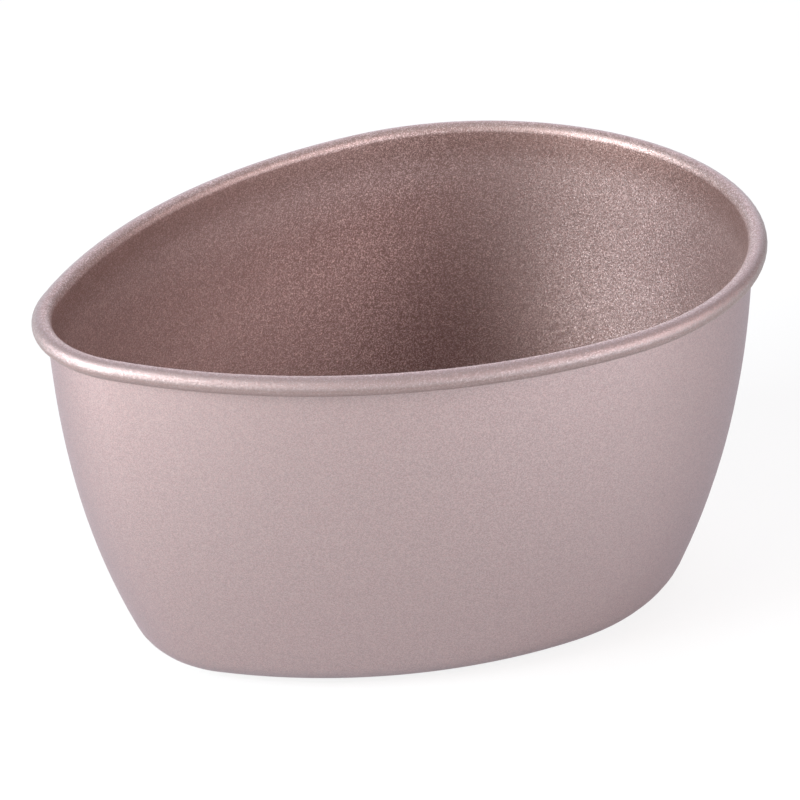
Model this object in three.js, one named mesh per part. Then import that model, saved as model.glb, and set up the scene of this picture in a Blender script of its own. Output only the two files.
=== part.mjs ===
// Pudding mould: an egg-shaped cup pressed from one coated steel sheet, with its edge curled outward.
// Millimetres, +Z up. The mould stands on z = 0, its long axis lies along X and its broad end points to +X.
import * as THREE from "three";

// Overall sizes, measured over the curled rim
const rimLength = 90;
const rimWidth = 68.5;
const rimTipRadius = 15.9;
const height = 46;

// Outline of the base, where the wall's curve would meet the table
const baseLength = 69.8;
const baseWidth = 49.9;
const baseTipRadius = 14;

// Wall: the higher the power, the longer it stays upright before it draws in
const wallPower = 2.3;
const cornerRise = 4;

// Curl of the rim, turned outward and down from the upright wall
const curlDiameter = 2.25;
const curlTurnDegrees = 290;

// Layers of the sheet
const steelThickness = 0.5;
const coatThickness = 0.04;
const bondGap = 0.005;

// Steps along the section and round the outline
const baseSteps = 1;
const cornerSteps = 4;
const wallSteps = 7;
const halfCurlSteps = 8;
const curlTailSteps = 5;
const sectionStepDegrees = 7.5;

// Angles in radians
const curlTurn = THREE.MathUtils.degToRad(curlTurnDegrees);
const sectionStep = THREE.MathUtils.degToRad(sectionStepDegrees);

// Depths of the layers, measured inward from the outside of the finished sheet
const steelOutside = coatThickness + bondGap;
const steelInside = steelOutside + steelThickness;
const innerCoatOutside = steelInside + bondGap;
const sheetThickness = innerCoatOutside + coatThickness;

const curlRadius = curlDiameter / 2;
const curlBore = curlRadius - sheetThickness;
const curlHeight = height - curlRadius;
const rimOverhang = curlDiameter - sheetThickness;

// An egg drawn with a compass: a half circle across the broad end, a small arc round the tip, and two
// long side arcs that run into both. Points are found by the direction that the outline faces there.
function eggOutline(length, width, tipRadius) {
  const broadRadius = width / 2;
  const broadCentre = length / 2 - broadRadius;
  const tipCentre = tipRadius - length / 2;
  const reach = broadCentre - tipCentre;
  const radiusDrop = broadRadius - tipRadius;
  const sideRadius = (reach ** 2 + broadRadius ** 2 - tipRadius ** 2) / (2 * radiusDrop);
  const sideOffset = sideRadius - broadRadius;
  const tipJoint = Math.atan2(sideOffset, -reach);

  function arcPoint(centreX, centreY, radius, facing) {
    return new THREE.Vector2(centreX + radius * Math.cos(facing), centreY + radius * Math.sin(facing));
  }

  function pointFacing(facing) {
    const turn = Math.abs(facing);
    if (turn <= Math.PI / 2) {
      return arcPoint(broadCentre, 0, broadRadius, facing);
    }
    if (turn >= tipJoint) {
      return arcPoint(tipCentre, 0, tipRadius, facing);
    }
    return arcPoint(broadCentre, -Math.sign(facing) * sideOffset, sideRadius, facing);
  }

  return { pointFacing, tipJoint };
}

const wallOutline = eggOutline(
  rimLength - 2 * rimOverhang,
  rimWidth - 2 * rimOverhang,
  rimTipRadius - rimOverhang,
);
const baseOutline = eggOutline(baseLength, baseWidth, baseTipRadius);

// Directions at which sections are taken, with one at each place where two arcs of an outline meet
function sectionDirections() {
  const joints = [wallOutline.tipJoint, baseOutline.tipJoint].sort((a, b) => a - b);
  const breaks = [0, Math.PI / 2, ...joints, Math.PI];
  const half = [];
  for (let span = 0; span < breaks.length - 1; span++) {
    const width = breaks[span + 1] - breaks[span];
    const steps = Math.ceil(width / sectionStep);
    for (let step = 0; step < steps; step++) {
      half.push(breaks[span] + (width * step) / steps);
    }
  }
  const mirrored = half.slice(1).reverse().map((facing) => -facing);
  return [...half, Math.PI, ...mirrored];
}

// One place on the outside of the sheet: a point on the plan, a height, and the way the sheet faces there,
// as its tilt below level.
function sheetPlace(plan, z, tilt) {
  return { plan, z, tilt };
}

// The outside of the sheet in one direction, from the middle of the base up the wall and round the curl
function sheetSection(facing) {
  const outward = new THREE.Vector2(Math.cos(facing), Math.sin(facing));
  const top = wallOutline.pointFacing(facing);
  const foot = baseOutline.pointFacing(facing);
  const run = top.clone().sub(foot).dot(outward);

  function wallPlace(z) {
    const drop = 1 - z / curlHeight;
    const plan = top.clone().lerp(foot, drop ** wallPower);
    const slope = (run * wallPower * drop ** (wallPower - 1)) / curlHeight;
    return sheetPlace(plan, z, Math.atan(slope));
  }

  const cornerTop = wallPlace(cornerRise);
  const cornerRadius = cornerRise / (1 - Math.sin(cornerTop.tilt));
  const cornerCentre = cornerTop.plan.clone().addScaledVector(outward, -cornerRadius * Math.cos(cornerTop.tilt));
  const curlCentre = top.clone().addScaledVector(outward, curlBore);

  const base = [];
  for (let step = 0; step < baseSteps; step++) {
    const plan = cornerCentre.clone().multiplyScalar(step / baseSteps);
    base.push(sheetPlace(plan, 0, Math.PI / 2));
  }
  const corner = [];
  for (let step = 0; step < cornerSteps; step++) {
    const tilt = THREE.MathUtils.lerp(Math.PI / 2, cornerTop.tilt, step / cornerSteps);
    const plan = cornerCentre.clone().addScaledVector(outward, cornerRadius * Math.cos(tilt));
    corner.push(sheetPlace(plan, cornerRadius * (1 - Math.sin(tilt)), tilt));
  }
  const wall = [];
  for (let step = 0; step <= wallSteps; step++) {
    wall.push(wallPlace(THREE.MathUtils.lerp(cornerRise, curlHeight, step / wallSteps)));
  }
  const curl = [];
  for (let step = 1; step <= halfCurlSteps + curlTailSteps; step++) {
    const tailStep = Math.max(step - halfCurlSteps, 0);
    const halfStep = step - tailStep;
    const tail = ((curlTurn - Math.PI) * tailStep) / curlTailSteps;
    const tilt = (Math.PI * halfStep) / halfCurlSteps + tail;
    const plan = curlCentre.clone().addScaledVector(outward, -curlBore * Math.cos(tilt));
    curl.push(sheetPlace(plan, curlHeight + curlBore * Math.sin(tilt), tilt));
  }
  return [...base, ...corner, ...wall, ...curl];
}

// Places along the section where one stretch of the sheet ends and the next begins
const baseMiddle = 0;
const baseEdge = baseMiddle + baseSteps;
const wallTop = baseEdge + cornerSteps + wallSteps;
const curlEnd = wallTop + halfCurlSteps + curlTailSteps;

const directions = sectionDirections();
const sections = directions.map(sheetSection);

// The point at a depth inside the sheet, square to its outside
function pointAtDepth(place, facing, depth) {
  const inward = -depth * Math.cos(place.tilt);
  return new THREE.Vector3(
    place.plan.x + inward * Math.cos(facing),
    place.plan.y + inward * Math.sin(facing),
    place.z + depth * Math.sin(place.tilt),
  );
}

// A layer of the sheet as a closed solid, between two depths and two places along the section
function sheetLayer(outsideDepth, insideDepth, firstPlace, lastPlace) {
  const positions = [];
  directions.forEach((facing, station) => {
    const places = sections[station].slice(firstPlace, lastPlace + 1);
    const outside = places.map((place) => pointAtDepth(place, facing, outsideDepth));
    const inside = places.map((place) => pointAtDepth(place, facing, insideDepth));
    for (const point of [...outside, ...inside.reverse()]) {
      positions.push(point.x, point.y, point.z);
    }
  });

  const side = lastPlace - firstPlace + 1;
  const loop = 2 * side;
  const closingStrips = firstPlace === baseMiddle ? 0 : 1;
  const indices = [];
  for (let station = 0; station < directions.length; station++) {
    const ring = station * loop;
    const nextRing = ((station + 1) % directions.length) * loop;
    for (let place = 0; place < loop - 1 + closingStrips; place++) {
      const nextPlace = (place + 1) % loop;
      const near = ring + place;
      const far = nextRing + place;
      const nearNext = ring + nextPlace;
      const farNext = nextRing + nextPlace;
      if (place < side) {
        indices.push(near, far, farNext, near, farNext, nearNext);
      } else {
        indices.push(near, far, nearNext, far, farNext, nearNext);
      }
    }
  }

  const geometry = new THREE.BufferGeometry();
  geometry.setAttribute("position", new THREE.Float32BufferAttribute(positions, 3));
  geometry.setIndex(indices);
  geometry.computeVertexNormals();
  return geometry;
}

// Materials
const steel = new THREE.MeshStandardMaterial({ color: 0x9a9894, roughness: 0.4, metalness: 1 });
const nonStick = new THREE.MeshStandardMaterial({ color: 0x866a66, roughness: 0.38, metalness: 0.7 });
const lacquer = new THREE.MeshStandardMaterial({ color: 0xb9a2a3, roughness: 0.42, metalness: 0.7 });

function piece(name, geometry, material) {
  const mesh = new THREE.Mesh(geometry, material);
  mesh.name = name;
  return mesh;
}

const mould = new THREE.Group();
mould.add(
  piece("steel_shell", sheetLayer(steelOutside, steelInside, baseMiddle, wallTop), steel),
  piece("rolled_rim", sheetLayer(steelOutside, steelInside, wallTop, curlEnd), steel.clone()),
  piece("inner_nonstick_coat", sheetLayer(innerCoatOutside, sheetThickness, baseMiddle, curlEnd), nonStick),
  piece("outer_wall_coat", sheetLayer(0, coatThickness, baseEdge, wallTop), lacquer),
  piece("outer_base_coat", sheetLayer(0, coatThickness, baseMiddle, baseEdge), lacquer.clone()),
);

export default mould;
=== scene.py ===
import math

import bmesh
import bpy
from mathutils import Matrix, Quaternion, Vector


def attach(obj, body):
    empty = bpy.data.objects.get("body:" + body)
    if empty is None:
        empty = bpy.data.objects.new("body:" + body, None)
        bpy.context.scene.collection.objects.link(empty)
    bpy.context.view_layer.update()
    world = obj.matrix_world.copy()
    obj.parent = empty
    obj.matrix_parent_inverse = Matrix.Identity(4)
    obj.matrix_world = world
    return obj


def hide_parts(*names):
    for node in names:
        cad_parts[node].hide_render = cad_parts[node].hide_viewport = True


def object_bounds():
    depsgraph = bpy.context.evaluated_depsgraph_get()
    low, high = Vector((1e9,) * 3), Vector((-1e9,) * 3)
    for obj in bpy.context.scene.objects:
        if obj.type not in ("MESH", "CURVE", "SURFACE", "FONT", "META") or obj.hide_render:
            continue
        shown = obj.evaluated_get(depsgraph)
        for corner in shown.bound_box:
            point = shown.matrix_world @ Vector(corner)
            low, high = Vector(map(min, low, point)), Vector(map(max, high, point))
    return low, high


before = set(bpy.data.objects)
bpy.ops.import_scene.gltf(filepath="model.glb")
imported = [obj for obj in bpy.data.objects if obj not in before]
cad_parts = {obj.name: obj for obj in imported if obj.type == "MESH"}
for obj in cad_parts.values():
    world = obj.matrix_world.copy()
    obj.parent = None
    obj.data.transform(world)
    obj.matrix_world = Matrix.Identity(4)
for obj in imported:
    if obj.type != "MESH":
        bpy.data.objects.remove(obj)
cadLow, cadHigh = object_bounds()
mm = 0.001
print("frame loaded, box", [round(side, 4) for side in cadHigh - cadLow])


# the pressed sheet: overall sizes from the frame, the rest as drawn in the part
sheet = {
    "length": cadHigh.x - cadLow.x,
    "width": cadHigh.y - cadLow.y,
    "height": cadHigh.z - cadLow.z,
    "tipRadius": 15.9 * mm,
    "baseLength": 69.8 * mm,
    "baseWidth": 49.9 * mm,
    "baseTipRadius": 14 * mm,
    "wallPower": 2.3,            # higher keeps the wall upright for longer
    "cornerRise": 4 * mm,
    "curlDiameter": 2.25 * mm,
    "curlTurn": math.radians(290),
    "steel": 0.5 * mm,
    "coat": 0.04 * mm,
    "bond": 0.005 * mm,
    "broadSteps": 48,
    "sideSteps": 20,
    "tipSteps": 28,
    "baseRings": 3,
    "cornerRings": 8,
    "wallRings": 18,
    "curlRings": 26,
    "smoothAngle": math.radians(35),
}
sheet["thickness"] = sheet["steel"] + 2 * (sheet["coat"] + sheet["bond"])
tiny = 1e-6                      # for finding and merging points
white = (1, 1, 1, 1)


def deselectAll():
    if bpy.context.object and bpy.context.object.mode != "OBJECT":
        bpy.ops.object.mode_set(mode="OBJECT")
    bpy.ops.object.select_all(action="DESELECT")


def makeActive(piece):
    deselectAll()
    piece.select_set(True)
    bpy.context.view_layer.objects.active = piece


def editMesh():
    return bmesh.from_edit_mesh(bpy.context.object.data)


def select(kind, wanted):
    # picks the points, edges or faces in edit mode that pass a test
    edit = editMesh()
    for part in (*edit.faces, *edit.edges, *edit.verts):
        part.select = False
    for part in getattr(edit, kind):
        if wanted(part):
            part.select_set(True)
    bmesh.update_edit_mesh(bpy.context.object.data)


def eggArcs(length, width, tipRadius):
    # an egg drawn with a compass: broad half circle, tip arc, and two side arcs that run into both
    broad = width / 2
    broadX = length / 2 - broad
    tipX = tipRadius - length / 2
    reach = broadX - tipX
    side = (reach ** 2 + broad ** 2 - tipRadius ** 2) / (2 * (broad - tipRadius))
    drop = side - broad
    sideTurn = math.atan2(drop, -reach) - math.pi / 2
    return {"broad": broad, "broadX": broadX, "tipX": tipX, "drop": drop, "sideTurn": sideTurn}


def spinSides(arcs, z):
    # carries what is selected from one end of the broad half circle round the sides and tip to the other
    for steps, turn, centre in (
        (sheet["sideSteps"], arcs["sideTurn"], (arcs["broadX"], -arcs["drop"], z)),
        (sheet["tipSteps"], math.pi - 2 * arcs["sideTurn"], (arcs["tipX"], 0, z)),
        (sheet["sideSteps"], arcs["sideTurn"], (arcs["broadX"], arcs["drop"], z)),
    ):
        bpy.ops.mesh.spin(steps=steps, angle=-turn, center=centre, axis=(0, 0, 1))


def drawEgg(size, z):
    # one level of the sheet as a closed loop of edges, spun arc by arc
    arcs = eggArcs(*size)
    broadX, broad = arcs["broadX"], arcs["broad"]
    bpy.ops.mesh.primitive_circle_add(
        vertices=2 * sheet["broadSteps"], radius=broad, location=(broadX, 0, z))
    select("verts", lambda vert: not vert.link_faces and vert.co.x < broadX - tiny)
    bpy.ops.mesh.delete(type="VERT")
    start = Vector((broadX, broad, z))
    finish = Vector((broadX, -broad, z))
    select("verts", lambda vert: not vert.link_faces and (vert.co - start).length < tiny)
    spinSides(arcs, z)
    select("verts", lambda vert: not vert.link_faces and (vert.co - finish).length < tiny)
    bpy.ops.mesh.remove_doubles(threshold=2 * tiny)


# outline of the wall under the curl and of the base, as length, width and tip radius
curlBore = sheet["curlDiameter"] / 2 - sheet["thickness"]
curlHeight = sheet["height"] - sheet["curlDiameter"] / 2
outward = Vector((2, 2, 1))      # an egg moved out by d grows by this times d
overhang = sheet["curlDiameter"] - sheet["thickness"]
rimEgg = Vector((sheet["length"], sheet["width"], sheet["tipRadius"])) - outward * overhang
baseEgg = Vector((sheet["baseLength"], sheet["baseWidth"], sheet["baseTipRadius"]))


def wallEgg(z):
    return rimEgg.lerp(baseEgg, (1 - z / curlHeight) ** sheet["wallPower"])


def sheetLevels():
    # egg and height of every level, from the middle of the base round the corner and up the wall
    rise, power = sheet["cornerRise"], sheet["wallPower"]
    drawIn = (rimEgg.y - baseEgg.y) / 2
    lean = math.atan(drawIn * power * (1 - rise / curlHeight) ** (power - 1) / curlHeight)
    radius = rise / (1 - math.sin(lean))
    foot = wallEgg(rise) - outward * radius * math.cos(lean)
    levels = []
    for ring in range(1, sheet["baseRings"] + 1):
        levels.append(("base", foot * ring / sheet["baseRings"], 0.0))
    for ring in range(1, sheet["cornerRings"]):
        tilt = math.pi / 2 + (lean - math.pi / 2) * ring / sheet["cornerRings"]
        levels.append(("wall", foot + outward * radius * math.cos(tilt), radius * (1 - math.sin(tilt))))
    for ring in range(sheet["wallRings"] + 1):
        z = rise + (curlHeight - rise) * ring / sheet["wallRings"]
        levels.append(("wall", wallEgg(z), z))
    return levels


bands = ["curl", "base", "wall"]   # new faces start in the first


def makeSheet():
    # the outside of the sheet as one open surface: levels bridged from the base up, then the curl spun on
    deselectAll()
    bpy.ops.mesh.primitive_circle_add()     # gives the object, its points are drawn anew
    made = bpy.context.object
    made.name = "sheet_form"
    bpy.ops.object.mode_set(mode="EDIT")
    bpy.ops.mesh.select_all(action="SELECT")
    bpy.ops.mesh.delete(type="VERT")
    for level, (band, size, z) in enumerate(sheetLevels()):
        drawEgg(size, z)
        select("edges", lambda edge: len(edge.link_faces) < 2)
        if level:
            bpy.ops.mesh.bridge_edge_loops()
        else:
            bpy.ops.mesh.edge_face_add()
        for face in editMesh().faces:
            if face.select:
                face.material_index = bands.index(band)
    # the curl's section stands on one point of the wall's top and is carried round all four arcs
    arcs = eggArcs(*rimEgg)
    broadX, broad = arcs["broadX"], arcs["broad"]
    foot = Vector((broadX, -broad, curlHeight))
    select("verts", lambda vert: (vert.co - foot).length < tiny)
    bpy.ops.mesh.duplicate()
    bpy.ops.mesh.spin(steps=sheet["curlRings"], angle=-sheet["curlTurn"],
                      center=(broadX, -broad - curlBore, curlHeight), axis=(1, 0, 0))
    select("edges", lambda edge: not edge.link_faces)
    bpy.ops.mesh.spin(steps=sheet["broadSteps"], angle=-math.pi,
                      center=(broadX, 0, curlHeight), axis=(0, 0, 1))
    spinSides(arcs, curlHeight)
    bpy.ops.mesh.select_all(action="SELECT")
    bpy.ops.mesh.remove_doubles(threshold=2 * tiny)
    bpy.ops.mesh.normals_make_consistent(inside=False)
    lowest = min(editMesh().faces, key=lambda face: face.calc_center_median().z)
    if lowest.normal.z > 0:
        bpy.ops.mesh.flip_normals()
    bpy.ops.object.mode_set(mode="OBJECT")
    print("sheet drawn,", level + 1, "levels,", len(made.data.vertices), "points")
    return made


def sheetLayer(name, form, depth, thickness, keep):
    # a copy of some bands of the sheet, moved in to its depth and given its thickness
    makeActive(form)
    bpy.ops.object.duplicate()
    layer = bpy.context.object
    layer.name = name
    bpy.ops.object.mode_set(mode="EDIT")
    select("faces", lambda face: bands[face.material_index] not in keep)
    bpy.ops.mesh.delete(type="FACE")
    for face in editMesh().faces:
        face.material_index = 0
    bpy.ops.object.mode_set(mode="OBJECT")
    wall = layer.modifiers.new("wall", "SOLIDIFY")
    wall.thickness = thickness
    wall.offset = -1 - 2 * depth / thickness
    wall.use_quality_normals = True
    bpy.ops.object.modifier_apply(modifier=wall.name)
    bpy.ops.object.shade_smooth_by_angle(angle=sheet["smoothAngle"])
    return layer


form = makeSheet()
steelDepth = sheet["coat"] + sheet["bond"]
innerDepth = steelDepth + sheet["steel"] + sheet["bond"]
steelCup = sheetLayer("steel_cup", form, steelDepth, sheet["steel"], ["base", "wall"])
rimCurl = sheetLayer("rim_curl", form, steelDepth, sheet["steel"], ["curl"])
innerCoat = sheetLayer("inner_coat", form, innerDepth, sheet["coat"], ["base", "wall", "curl"])
wallCoat = sheetLayer("wall_coat", form, 0, sheet["coat"], ["wall"])
baseCoat = sheetLayer("base_coat", form, 0, sheet["coat"], ["base"])
bpy.data.objects.remove(form)
print("layers made")


# shader nodes

def addNode(tree, kind, place, **values):
    made = tree.nodes.new(kind)
    made.location = place
    for name, value in values.items():
        setattr(made, name, value)
    return made


def feed(tree, socket, source):
    # a plain value is set, another socket is linked
    if isinstance(source, bpy.types.NodeSocket):
        tree.links.new(source, socket)
    else:
        socket.default_value = source


def maths(tree, place, operation, *sources):
    made = addNode(tree, "ShaderNodeMath", place, operation=operation)
    for socket, source in zip(made.inputs, sources):
        feed(tree, socket, source)
    return made.outputs[0]


def remap(tree, place, value, fromRange, toRange=(0, 1), kind="SMOOTHSTEP"):
    made = addNode(tree, "ShaderNodeMapRange", place, interpolation_type=kind)
    labels = ("Value", "From Min", "From Max", "To Min", "To Max")
    for label, source in zip(labels, (value, *fromRange, *toRange)):
        feed(tree, made.inputs[label], source)
    return made.outputs["Result"]


def mixColour(tree, place, factor, first, second, blend="MIX"):
    made = addNode(tree, "ShaderNodeMix", place, data_type="RGBA", blend_type=blend)
    for label, source in (("Factor", factor), ("A", first), ("B", second)):
        feed(tree, made.inputs[label], source)
    return made.outputs["Result"]


def newGroup(name, inputs, outputs):
    tree = bpy.data.node_groups.new(name, "ShaderNodeTree")
    for label, kind, value in inputs:
        socket = tree.interface.new_socket(label, in_out="INPUT", socket_type=kind)
        socket.default_value = value
    for label, kind in outputs:
        tree.interface.new_socket(label, in_out="OUTPUT", socket_type=kind)
    return tree


def makeFlakeGroup():
    # metal flakes in a sprayed coat: each cell leans its own way and has its own tone and hue
    tree = newGroup(
        "metalFlake",
        [("Flake Size", "NodeSocketFloat", 0.15 * mm), ("Lean", "NodeSocketFloat", 0.3),
         ("Sparkle", "NodeSocketFloat", 1.0)],
        [("Normal", "NodeSocketVector"), ("Tone", "NodeSocketFloat"), ("Hue", "NodeSocketFloat")])
    entry = addNode(tree, "NodeGroupInput", (-900, 0))
    leave = addNode(tree, "NodeGroupOutput", (900, 0))
    coords = addNode(tree, "ShaderNodeTexCoord", (-900, 300))
    density = maths(tree, (-700, 0), "DIVIDE", 1.0, entry.outputs["Flake Size"])
    cells = addNode(tree, "ShaderNodeTexVoronoi", (-500, 200), feature="F1")
    centred = addNode(tree, "ShaderNodeVectorMath", (-250, 200), operation="SUBTRACT")
    centred.inputs[1].default_value = (0.5, 0.5, 0.5)
    leaned = addNode(tree, "ShaderNodeVectorMath", (-50, 200), operation="SCALE")
    surface = addNode(tree, "ShaderNodeNewGeometry", (-250, 450))
    added = addNode(tree, "ShaderNodeVectorMath", (200, 300), operation="ADD")
    unit = addNode(tree, "ShaderNodeVectorMath", (450, 300), operation="NORMALIZE")
    split = addNode(tree, "ShaderNodeSeparateColor", (-50, -100))
    bright = maths(tree, (200, -100), "POWER", split.outputs["Red"], entry.outputs["Sparkle"])
    link = tree.links.new
    link(coords.outputs["Object"], cells.inputs["Vector"])
    link(density, cells.inputs["Scale"])
    link(cells.outputs["Color"], centred.inputs[0])
    link(centred.outputs[0], leaned.inputs[0])
    link(entry.outputs["Lean"], leaned.inputs["Scale"])
    link(surface.outputs["Normal"], added.inputs[0])
    link(leaned.outputs[0], added.inputs[1])
    link(added.outputs[0], unit.inputs[0])
    link(unit.outputs[0], leave.inputs["Normal"])
    link(cells.outputs["Color"], split.inputs[0])
    link(bright, leave.inputs["Tone"])
    link(split.outputs["Green"], leave.inputs["Hue"])
    return tree


def makeMottleGroup():
    # slow cloudiness of a sprayed coat
    tree = newGroup(
        "sprayMottle",
        [("Cloud Size", "NodeSocketFloat", 8 * mm)],
        [("Cloud", "NodeSocketFloat")])
    entry = addNode(tree, "NodeGroupInput", (-600, 0))
    leave = addNode(tree, "NodeGroupOutput", (400, 0))
    coords = addNode(tree, "ShaderNodeTexCoord", (-600, 250))
    density = maths(tree, (-400, 0), "DIVIDE", 1.0, entry.outputs["Cloud Size"])
    cloud = addNode(tree, "ShaderNodeTexNoise", (-150, 100))
    cloud.inputs["Detail"].default_value = 3.0
    link = tree.links.new
    link(coords.outputs["Object"], cloud.inputs["Vector"])
    link(density, cloud.inputs["Scale"])
    link(cloud.outputs["Fac"], leave.inputs["Cloud"])
    return tree


# how the inner coat changes on and under the rim, with painted light where the rim faces down and painted
# shade under the curl
rimFinishAndPaintedLight = {
    "reach": (-0.4, 0.4),                  # overspray by how far the surface faces away from the middle
    "tint": (0.91, 0.935, 0.97, 1),        # its hue, the outer coat's
    "paintedUnderlightReach": (0.2, -0.3),             # painted light: lighter where the rim faces down
    "paintedUnderlightTint": (1.38, 1.38, 1.41, 1),
    "even": 0.65,                          # flake tone evened out by it
    "rough": 0.02,
    "shade": (0.74, 0.66, 0.63, 1),        # painted shade: darker inside, just under the curl
    "shadeFoot": (curlHeight - 6 * mm, curlHeight - 0.6 * mm),
    "shadeTop": (curlHeight + 0.3 * mm, curlHeight - 0.18 * mm),
}


def makeOversprayAndUnderlightGroup():
    # the outer coat drifts over the rim: none on what faces the middle of the cup, full on what faces away; a
    # second mask, where that faces down, carries painted light
    tree = newGroup("rimOversprayAndUnderlight", [], [("Cover", "NodeSocketFloat"), ("Painted Underlight", "NodeSocketFloat")])
    leave = addNode(tree, "NodeGroupOutput", (700, 0))
    coords = addNode(tree, "ShaderNodeTexCoord", (-600, 100))
    surface = addNode(tree, "ShaderNodeNewGeometry", (-400, 350))
    level = addNode(tree, "ShaderNodeVectorMath", (-400, 100), operation="MULTIPLY")
    level.inputs[1].default_value = (1, 1, 0)
    away = addNode(tree, "ShaderNodeVectorMath", (-200, 100), operation="NORMALIZE")
    facing = addNode(tree, "ShaderNodeVectorMath", (0, 200), operation="DOT_PRODUCT")
    tilt = addNode(tree, "ShaderNodeSeparateXYZ", (0, 450))
    cover = remap(tree, (250, 0), facing.outputs["Value"], rimFinishAndPaintedLight["reach"])
    # painted light: mask for where the rim faces down
    under = remap(tree, (250, 400), tilt.outputs["Z"], rimFinishAndPaintedLight["paintedUnderlightReach"])
    link = tree.links.new
    link(coords.outputs["Object"], level.inputs[0])
    link(level.outputs[0], away.inputs[0])
    link(away.outputs[0], facing.inputs[0])
    link(surface.outputs["Normal"], facing.inputs[1])
    link(surface.outputs["Normal"], tilt.inputs[0])
    link(cover, leave.inputs["Cover"])
    link(maths(tree, (450, 300), "MULTIPLY", under, cover), leave.inputs["Painted Underlight"])
    return tree


def makeShadeGroup():
    # painted shade on the inside just under the curl
    tree = newGroup("rimShade", [], [("Shade", "NodeSocketFloat")])
    leave = addNode(tree, "NodeGroupOutput", (500, 0))
    coords = addNode(tree, "ShaderNodeTexCoord", (-500, 0))
    place = addNode(tree, "ShaderNodeSeparateXYZ", (-300, 0))
    foot = remap(tree, (0, 150), place.outputs["Z"], rimFinishAndPaintedLight["shadeFoot"])
    top = remap(tree, (0, -150), place.outputs["Z"], rimFinishAndPaintedLight["shadeTop"])
    tree.links.new(coords.outputs["Object"], place.inputs[0])
    tree.links.new(maths(tree, (300, 0), "MULTIPLY", foot, top), leave.inputs["Shade"])
    return tree


flakeGroup = makeFlakeGroup()
mottleGroup = makeMottleGroup()
oversprayAndUnderlightGroup = makeOversprayAndUnderlightGroup()
shadeGroup = makeShadeGroup()

outerFinish = {
    "dark": (0.452, 0.313, 0.309, 1),
    "light": (0.612, 0.426, 0.42, 1),
    "warm": (1.0, 0.95, 0.95, 1),
    "cool": (0.95, 1.0, 1.0, 1),
    "flakeSize": 0.1 * mm,
    "lean": 0.1,
    "metallic": 0.92,
    "edge": (0.6, 0.575, 0.71, 1),         # metal lacquer goes darker where it turns away
    "sparkle": 1.0,
    "roughness": (0.52, 0.58),
    "coatWeight": 0.4,
    "coatRoughness": 0.45,
}
innerFinish = {
    "dark": (0.36, 0.247, 0.229, 1),
    "light": (0.71, 0.555, 0.545, 1),
    "warm": (1.0, 0.96, 0.96, 1),
    "cool": (0.96, 1.0, 1.0, 1),
    "flakeSize": 0.12 * mm,
    "lean": 0.27,
    "metallic": 0.92,
    "edge": white,
    "sparkle": 2.5,                        # few bright flakes among many dull ones
    "roughness": (0.57, 0.63),
    "coatWeight": 0.5,
    "coatRoughness": 0.45,
}


def makeCoat(name, finish, rim=None):
    # satin metallic coat: flake tone, hue and lean, with slow cloudiness in the gloss; on the rim also
    # painted light and painted shade
    made = bpy.data.materials.new(name)
    made.use_nodes = True
    tree = made.node_tree
    link = tree.links.new
    shader = tree.nodes["Principled BSDF"]
    flakes = addNode(tree, "ShaderNodeGroup", (-1200, 100), node_tree=flakeGroup)
    flakes.inputs["Flake Size"].default_value = finish["flakeSize"]
    flakes.inputs["Lean"].default_value = finish["lean"]
    flakes.inputs["Sparkle"].default_value = finish["sparkle"]
    mottle = addNode(tree, "ShaderNodeGroup", (-1200, -200), node_tree=mottleGroup)
    tone = flakes.outputs["Tone"]
    roughness = remap(tree, (-900, -200), mottle.outputs["Cloud"], (0, 1), finish["roughness"], "LINEAR")
    if rim:
        overspray = addNode(tree, "ShaderNodeGroup", (-1200, -400), node_tree=oversprayAndUnderlightGroup)
        cover = overspray.outputs["Cover"]
        toned = addNode(tree, "ShaderNodeMix", (-800, 150), data_type="FLOAT")
        feed(tree, toned.inputs["Factor"], maths(tree, (-1000, -50), "MULTIPLY", cover, rim["even"]))
        feed(tree, toned.inputs["A"], tone)
        feed(tree, toned.inputs["B"], 1 / (1 + finish["sparkle"]))     # the flakes' mean tone
        tone = toned.outputs["Result"]
        roughness = maths(tree, (-600, -300), "MULTIPLY_ADD", cover, rim["rough"], roughness)
    colour = mixColour(tree, (-600, 200), tone, finish["dark"], finish["light"])
    hue = mixColour(tree, (-600, 450), flakes.outputs["Hue"], finish["warm"], finish["cool"])
    colour = mixColour(tree, (-400, 300), 1.0, colour, hue, "MULTIPLY")
    if rim:
        shade = addNode(tree, "ShaderNodeGroup", (-600, 700), node_tree=shadeGroup)
        # the outer coat's hue over the rim, painted light where the rim faces down, painted shade inside
        # under the curl
        for place, mask, tint in (
            ((-250, 400), cover, rim["tint"]),
            ((-100, 500), overspray.outputs["Painted Underlight"], rim["paintedUnderlightTint"]),
            ((50, 600), shade.outputs["Shade"], rim["shade"]),
        ):
            colour = mixColour(tree, place, mask, colour, tint, "MULTIPLY")
    link(colour, shader.inputs["Base Color"])
    link(roughness, shader.inputs["Roughness"])
    link(flakes.outputs["Normal"], shader.inputs["Normal"])
    shader.inputs["Metallic"].default_value = finish["metallic"]
    shader.inputs["Specular Tint"].default_value = finish["edge"]
    shader.inputs["Coat Weight"].default_value = finish["coatWeight"]
    shader.inputs["Coat Roughness"].default_value = finish["coatRoughness"]
    return made


steelFinish = {
    "dark": (0.42, 0.42, 0.41, 1),
    "light": (0.62, 0.62, 0.6, 1),
    "grainSize": 0.08 * mm,
    "roughness": (0.28, 0.45),
}


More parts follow.
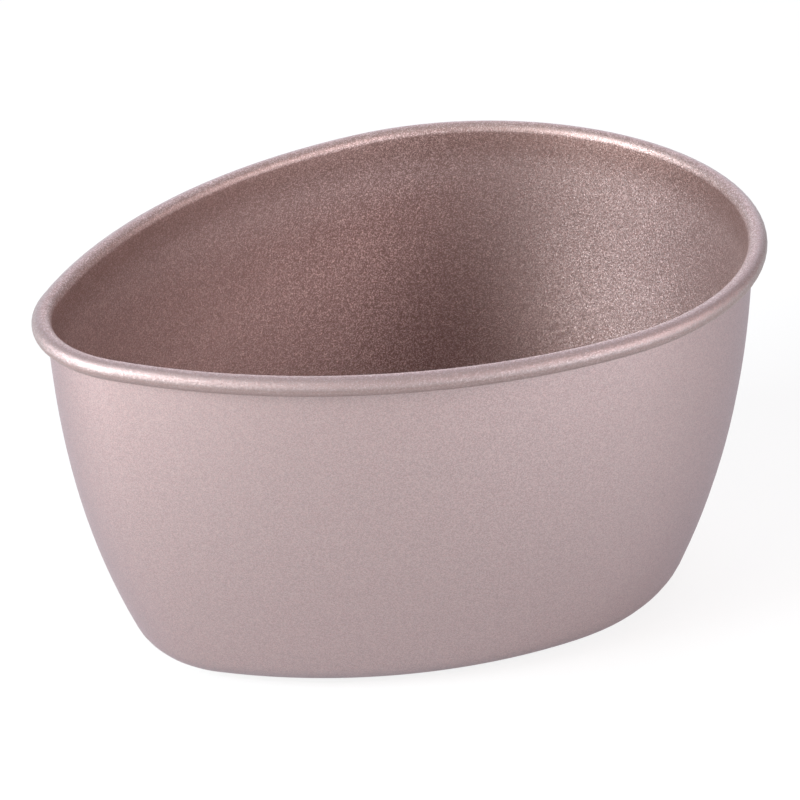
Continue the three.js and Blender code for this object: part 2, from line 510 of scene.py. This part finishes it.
def makeSteel():
    # bare drawn sheet, seen only at the cut edge under the curl
    made = bpy.data.materials.new("drawnSteel")
    made.use_nodes = True
    tree = made.node_tree
    shader = tree.nodes["Principled BSDF"]
    coords = addNode(tree, "ShaderNodeTexCoord", (-1000, 0))
    grain = addNode(tree, "ShaderNodeTexNoise", (-800, 0))
    grain.inputs["Scale"].default_value = 1 / steelFinish["grainSize"]
    patchy = grain.outputs["Fac"]
    colour = mixColour(tree, (-500, 200), patchy, steelFinish["dark"], steelFinish["light"])
    roughness = remap(tree, (-500, -150), patchy, (0, 1), steelFinish["roughness"], "LINEAR")
    tree.links.new(coords.outputs["Object"], grain.inputs["Vector"])
    tree.links.new(colour, shader.inputs["Base Color"])
    tree.links.new(roughness, shader.inputs["Roughness"])
    shader.inputs["Metallic"].default_value = 1.0
    return made


innerMaterial = makeCoat("innerCoat", innerFinish, rimFinishAndPaintedLight)
outerMaterial = makeCoat("outerCoat", outerFinish)
steelMaterial = makeSteel()

for piece, material, slotName, nodes in (
    (steelCup, steelMaterial, "steel", ["steel_shell"]),
    (rimCurl, steelMaterial, "steel", ["rolled_rim"]),
    (innerCoat, innerMaterial, "inner_coat", ["inner_nonstick_coat"]),
    (wallCoat, outerMaterial, "outer_coat", ["outer_wall_coat"]),
    (baseCoat, outerMaterial, "outer_coat", ["outer_base_coat"]),
):
    piece.data.materials.clear()
    piece.data.materials.append(material)
    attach(piece, "root")
    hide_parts(*nodes)
print("finishes on")


# floor, light and camera
floorLook = {
    "size": 6.0,
    "drop": 0.02 * mm,                     # keeps it clear of the base
    "roughness": 0.9,
    "colour": (0.475, 0.54, 0.545, 1),     # as it lights the mould
    "seenColour": (0.9, 0.9, 0.9, 1),      # as the camera sees it
    "seenGlow": (0.8, 1.0),                # near the mould and far from it
    "seenReach": (0.12, 0.5),
    "mirroredGlow": (0.25, 0.56),          # darker in the shade round the base
    "mirroredReach": (0.03, 0.1),
    "mirroredColour": (0.8, 0.99, 1.0, 1),
}


def makeFloor():
    deselectAll()
    bpy.ops.mesh.primitive_plane_add(size=floorLook["size"], location=(0, 0, -floorLook["drop"]))
    floor = bpy.context.object
    floor.name = "floor"
    made = bpy.data.materials.new("whiteFloor")
    made.use_nodes = True
    tree = made.node_tree
    shader = tree.nodes["Principled BSDF"]
    shader.inputs["Roughness"].default_value = floorLook["roughness"]
    rays = addNode(tree, "ShaderNodeLightPath", (-1000, 300))
    seen, mirrored = rays.outputs["Is Camera Ray"], rays.outputs["Is Glossy Ray"]
    coords = addNode(tree, "ShaderNodeTexCoord", (-1000, 600))
    away = addNode(tree, "ShaderNodeVectorMath", (-800, 600), operation="LENGTH")
    glow = addNode(tree, "ShaderNodeEmission", (-200, -300))
    mixed = addNode(tree, "ShaderNodeMixShader", (350, 100))
    paint = mixColour(tree, (-250, 0), seen, floorLook["colour"], floorLook["seenColour"])
    sheen = mixColour(tree, (-400, -300), seen, floorLook["mirroredColour"], white)
    distance = away.outputs["Value"]
    seenGlow = remap(tree, (-600, 550), distance, floorLook["seenReach"], floorLook["seenGlow"])
    mirroredGlow = remap(tree, (-600, 850), distance, floorLook["mirroredReach"], floorLook["mirroredGlow"])
    share = maths(tree, (-400, 300), "MULTIPLY", mirrored, mirroredGlow)
    share = maths(tree, (-200, 300), "MULTIPLY_ADD", seen, seenGlow, share)
    link = tree.links.new
    link(coords.outputs["Object"], away.inputs[0])
    link(paint, shader.inputs["Base Color"])
    link(sheen, glow.inputs["Color"])
    link(share, mixed.inputs[0])
    link(shader.outputs[0], mixed.inputs[1])
    link(glow.outputs[0], mixed.inputs[2])
    link(mixed.outputs[0], tree.nodes["Material Output"].inputs["Surface"])
    floor.data.materials.append(made)


# soft boxes and panels, placed by turn from the +X axis, lift and distance, so that their reflections fall as
# in the photo
lamps = {
    "leftHigh": {"turn": 174, "lift": 28, "distance": 0.6, "size": (0.28, 0.2),
                 "radiance": 23.0, "colour": (0.8, 0.94, 1.0)},
    "leftBack": {"turn": 190, "lift": 28, "distance": 0.6, "size": (0.28, 0.2),
                 "radiance": 7.6, "colour": (1.0, 0.88, 0.8)},
    "leftLow": {"turn": 180, "lift": 14, "distance": 0.6, "size": (0.28, 0.2),
                "radiance": 5.5, "colour": (1.0, 0.9, 0.9)},
    "leftFloor": {"turn": 190, "lift": 5, "distance": 0.6, "size": (0.28, 0.1),
                  "radiance": 11.0, "colour": (0.86, 0.98, 0.98)},
    "right": {"turn": -50, "lift": 26, "distance": 0.6, "size": (0.3, 0.2),
              "radiance": 10.8, "colour": (1.0, 0.89, 0.88)},
    "low": {"turn": -70, "lift": 6, "distance": 0.6, "size": (0.25, 0.12),
            "radiance": 13.5, "colour": (0.75, 0.93, 1.0)},
    "frontLow": {"turn": -95, "lift": 12, "distance": 0.9, "size": (0.8, 0.44),
                 "radiance": 0.95, "colour": (1.0, 0.78, 0.74)},
    "backLow": {"turn": 67, "lift": 12, "distance": 0.9, "size": (1.5, 0.44),
                "radiance": 1.9, "colour": (0.85, 0.92, 1.0)},
    "backHigh": {"turn": 60, "lift": 42, "distance": 0.9, "size": (0.9, 0.6),
                 "radiance": 1.54, "colour": (0.92, 0.88, 1.0)},
    "top": {"turn": 0, "lift": 80, "distance": 0.9, "size": (0.9, 0.9),
            "radiance": 0.78, "colour": (0.93, 1.0, 1.0)},
}
lampAim = Vector((0, 0, 30 * mm))


def makeLamp(name, look):
    light = bpy.data.lights.new(name, "AREA")
    light.shape = "RECTANGLE"
    light.size, light.size_y = look["size"]
    light.energy = look["radiance"] * math.pi * light.size * light.size_y      # in watts
    light.color = look["colour"]
    lamp = bpy.data.objects.new(name, light)
    bpy.context.scene.collection.objects.link(lamp)
    turn, lift = math.radians(look["turn"]), math.radians(look["lift"])
    fromAim = Vector((math.cos(turn) * math.cos(lift), math.sin(turn) * math.cos(lift), math.sin(lift)))
    lamp.location = lampAim + fromAim * look["distance"]
    lamp.rotation_euler = (-fromAim).to_track_quat("-Z", "Y").to_euler()


cameraLook = {
    "aim": (-3.98 * mm, -6.905 * mm, 29.8 * mm),
    "azimuth": math.radians(-26.26),
    "elevation": math.radians(28.77),
    "roll": math.radians(-1.94),
    "distance": 295.93 * mm,
    "lens": 112.5,
    "sensor": 36.0,
    "clipStart": 10 * mm,
}


def makeCamera():
    turn, lift = cameraLook["azimuth"], cameraLook["elevation"]
    back = Vector((math.sin(turn) * math.cos(lift), -math.cos(turn) * math.cos(lift), math.sin(lift)))
    lens = bpy.data.cameras.new("photoCamera")
    lens.lens = cameraLook["lens"]
    lens.sensor_width = cameraLook["sensor"]
    lens.clip_start = cameraLook["clipStart"]
    camera = bpy.data.objects.new("photoCamera", lens)
    bpy.context.scene.collection.objects.link(camera)
    camera.location = Vector(cameraLook["aim"]) + back * cameraLook["distance"]
    camera.rotation_mode = "QUATERNION"
    tilt = Quaternion((0, 0, 1), cameraLook["roll"])
    camera.rotation_quaternion = (-back).to_track_quat("-Z", "Y") @ tilt
    bpy.context.scene.camera = camera


worldLook = {"sky": (0.01, 0.01, 0.01, 1), "seen": white}


def makeWorld():
    world = bpy.data.worlds.new("studio")
    bpy.context.scene.world = world
    world.use_nodes = True
    tree = world.node_tree
    rays = addNode(tree, "ShaderNodeLightPath", (-600, 300))
    sky = mixColour(tree, (-300, 300), rays.outputs["Is Camera Ray"], worldLook["sky"], worldLook["seen"])
    tree.links.new(sky, tree.nodes["Background"].inputs["Color"])


makeFloor()
for lampName, lampLook in lamps.items():
    makeLamp(lampName, lampLook)
makeCamera()
makeWorld()
bpy.context.scene.view_settings.view_transform = "Standard"
print("stage set")
